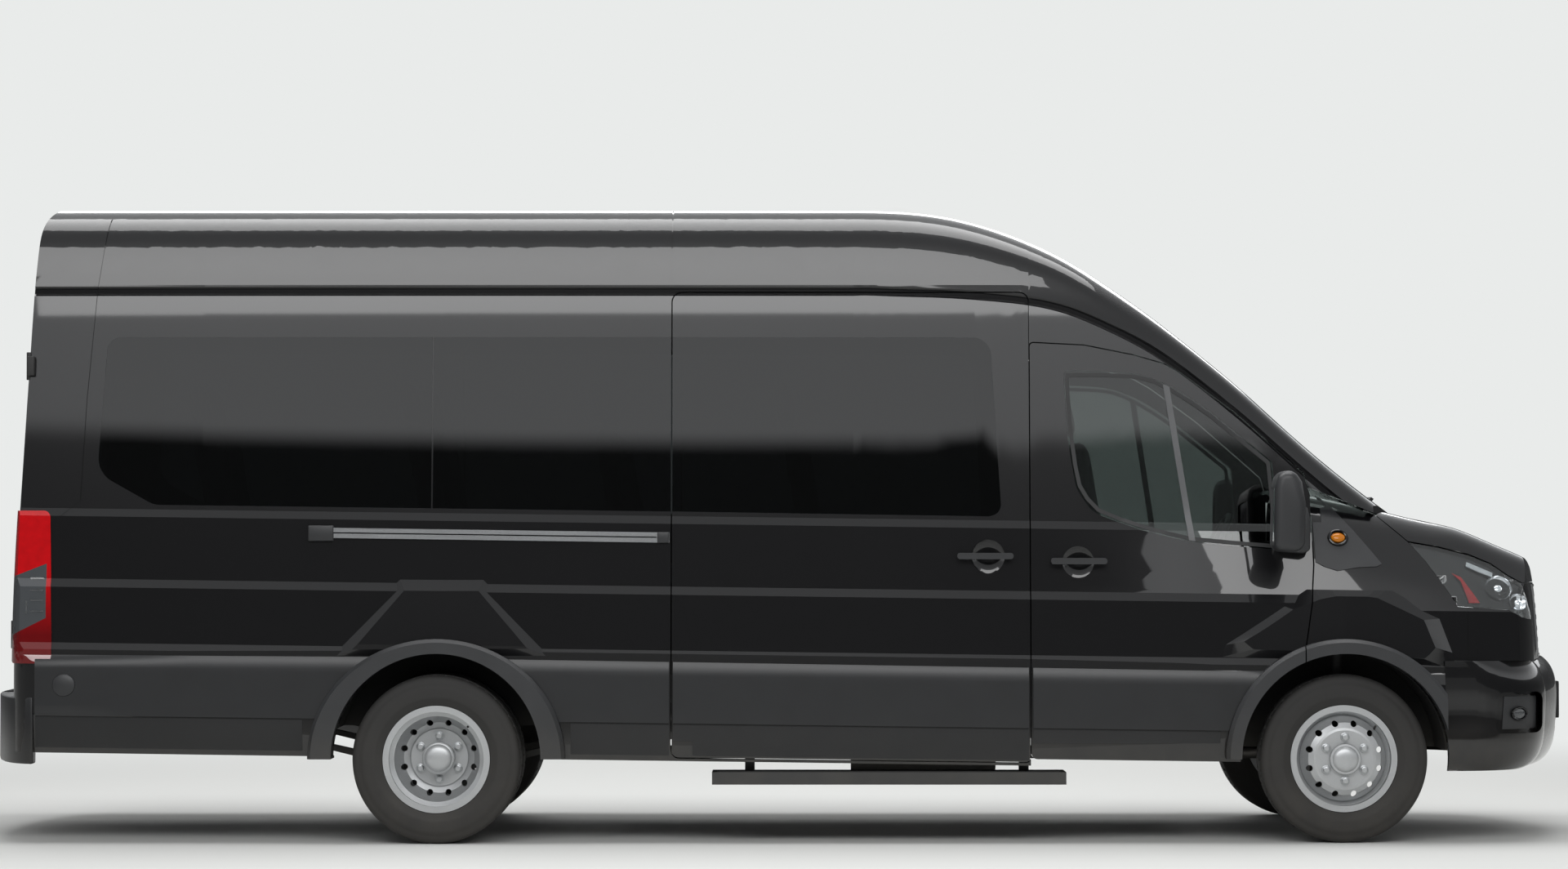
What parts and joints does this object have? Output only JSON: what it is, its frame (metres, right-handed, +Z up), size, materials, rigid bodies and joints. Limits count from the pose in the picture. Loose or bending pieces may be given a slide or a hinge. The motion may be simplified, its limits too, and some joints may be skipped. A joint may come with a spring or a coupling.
{
  "type": "minibus",
  "caption": "Long high-roof minibus with twin rear wheels, a side sliding door, swinging rear doors and tinted side glass.",
  "frame": {"origin": "on the ground under the middle of the overall length, on the centre plane", "axes": "+X forward, +Y to the vehicle's left, +Z up"},
  "size_m": [6.7039, 2.64, 2.66],
  "materials": {
    "body_paint": "gloss black paint",
    "glass": "dark tinted glass",
    "black_plastic": "grained black plastic",
    "lamp_clear": "clear lamp lens",
    "lamp_red": "red lamp lens",
    "wheel_steel": "silver paint",
    "tyre": "black rubber",
    "chassis_steel": "black chassis paint",
    "cast_steel": "bare casting",
    "interior_plastic": "dark grey plastic",
    "seat_cloth": "dark cloth",
    "rail_aluminium": "brushed",
    "engine_iron": "bare"
  },
  "bodies": {
    "body": {"underbody": "chassis_steel", "firewall": "chassis_steel", "side_panel_left": "body_paint", "side_panel_right": "body_paint", "roof": "body_paint", "windscreen_surround": "body_paint", "windscreen": "glass", "side_glass": "glass", "sliding_door": "body_paint", "slider_handle": "black_plastic", "slide_rail": "rail_aluminium", "fenders": "body_paint", "front_panel": "body_paint", "grille": "black_plastic", "headlamps": "lamp_clear", "headlamp_housings": "black_plastic", "front_bumper": "body_paint", "rear_bumper": "body_paint", "tail_lamps": "lamp_red", "arch_flares": "black_plastic", "arch_liners": "black_plastic", "side_step": "black_plastic", "dashboard": "interior_plastic", "steering_wheel": "interior_plastic", "front_seats": "seat_cloth", "passenger_seats": "seat_cloth", "engine": "engine_iron", "front_suspension": "chassis_steel", "rear_axle": "chassis_steel", "fuel_tank": "black_plastic", "exhaust": "chassis_steel"},
    "front_door_right": {"front_door_right": "body_paint", "door_glass_right": "glass", "door_flare_right": "black_plastic", "door_handle_right": "black_plastic", "mirror_right": "black_plastic"},
    "front_door_left": {"front_door_left": "body_paint", "door_glass_left": "glass", "door_flare_left": "black_plastic", "door_handle_left": "black_plastic", "mirror_left": "black_plastic"},
    "rear_door_left": {"rear_door_left": "body_paint", "rear_glass_left": "glass"},
    "rear_door_right": {"rear_door_right": "body_paint", "rear_glass_right": "glass"},
    "bonnet": {"bonnet": "body_paint"},
    "knuckle_left": {"knuckle_left": "cast_steel"},
    "knuckle_right": {"knuckle_right": "cast_steel"},
    "wheel_front_left": {"rim_front_left": "wheel_steel", "tyre_front_left": "tyre"},
    "wheel_front_right": {"rim_front_right": "wheel_steel", "tyre_front_right": "tyre"},
    "wheels_rear_left": {"rims_rear_left": "wheel_steel", "tyres_rear_left": "tyre"},
    "wheels_rear_right": {"rims_rear_right": "wheel_steel", "tyres_rear_right": "tyre"}
  },
  "joints": [
    {"name": "steer_left", "type": "hinge", "parent": "body", "child": "knuckle_left", "pos_m": [2.3285, 0.85, 0.348], "axis": [0, 0, 1], "range_deg": [-36, 36]},
    {"name": "steer_right", "type": "hinge", "parent": "body", "child": "knuckle_right", "pos_m": [2.3285, -0.85, 0.348], "axis": [0, 0, 1], "range_deg": [-36, 36]},
    {"name": "wheel_front_left_spin", "type": "hinge", "parent": "knuckle_left", "child": "wheel_front_left", "pos_m": [2.3285, 0.868, 0.348], "axis": [0, 1, 0], "continuous": true},
    {"name": "wheel_front_right_spin", "type": "hinge", "parent": "knuckle_right", "child": "wheel_front_right", "pos_m": [2.3285, -0.868, 0.348], "axis": [0, 1, 0], "continuous": true},
    {"name": "wheels_rear_left_spin", "type": "hinge", "parent": "body", "child": "wheels_rear_left", "pos_m": [-1.4215, 0.8255, 0.348], "axis": [0, 1, 0], "continuous": true},
    {"name": "wheels_rear_right_spin", "type": "hinge", "parent": "body", "child": "wheels_rear_right", "pos_m": [-1.4215, -0.8255, 0.348], "axis": [0, 1, 0], "continuous": true},
    {"name": "front_door_right_swing", "type": "hinge", "parent": "body", "child": "front_door_right", "pos_m": [2.24, -1.036, 0.9], "axis": [0, 0, 1], "range_deg": [0, 70]},
    {"name": "front_door_left_swing", "type": "hinge", "parent": "body", "child": "front_door_left", "pos_m": [2.24, 1.036, 0.9], "axis": [0, 0, -1], "range_deg": [0, 70]},
    {"name": "rear_door_left_swing", "type": "hinge", "parent": "body", "child": "rear_door_left", "pos_m": [-3.268, 0.905, 1.4], "axis": [0, 0, -1], "range_deg": [0, 180]},
    {"name": "rear_door_right_swing", "type": "hinge", "parent": "body", "child": "rear_door_right", "pos_m": [-3.268, -0.905, 1.4], "axis": [0, 0, 1], "range_deg": [0, 180]},
    {"name": "bonnet_lift", "type": "hinge", "parent": "body", "child": "bonnet", "pos_m": [2.44, 0, 1.385], "axis": [0, -1, 0], "range_deg": [0, 50]}
  ],
  "couplings": [
    {"joint": "steer_right", "follows": "steer_left", "ratio": 1}
  ]
}
